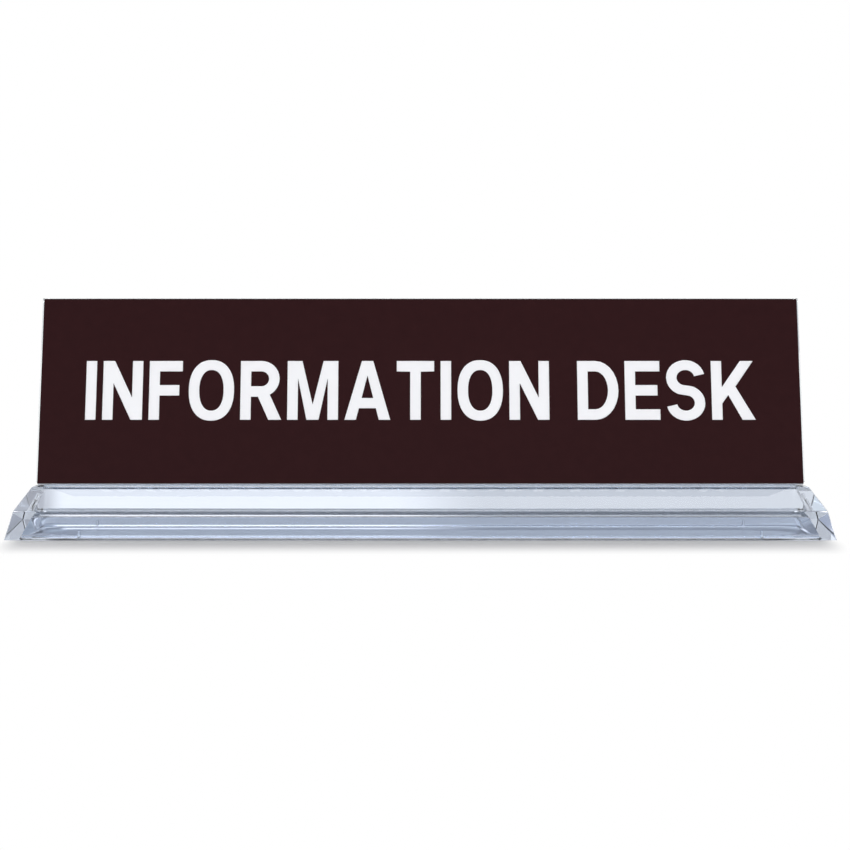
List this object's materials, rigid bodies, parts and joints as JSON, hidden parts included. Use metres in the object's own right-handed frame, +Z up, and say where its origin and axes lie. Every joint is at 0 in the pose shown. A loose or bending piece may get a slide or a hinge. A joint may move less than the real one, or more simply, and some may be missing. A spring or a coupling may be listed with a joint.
{
  "type": "desk name plate",
  "caption": "Leaning two-ply engraving plate taped to a clear panel that lifts out of a slotted, hollow clear base with sloped and flared faces.",
  "frame": {"origin": "middle of the base's footprint, on the surface it stands on", "axes": "+X along the plate, +Y from the front to the back, +Z up"},
  "size_m": [0.216, 0.034, 0.0629],
  "materials": {
    "clear_base": "clear moulded styrene, polished, faintly blue",
    "clear_panel": "clear cast acrylic sheet, polished",
    "mounting_tape": "white foam, dull",
    "white_core": "fine matte where cut",
    "brown_face": "fine satin grain"
  },
  "bodies": {
    "base": {"base_shell": "clear_base"},
    "panel": {"back_panel": "clear_panel", "tape_upper": "mounting_tape", "tape_lower": "mounting_tape", "plate_core": "white_core", "plate_face": "brown_face"}
  },
  "joints": [
    {"name": "panel_lift", "type": "slide", "parent": "base", "child": "panel", "axis": [0, 0.2672, 0.9636], "range_m": [0, 0.02]}
  ]
}
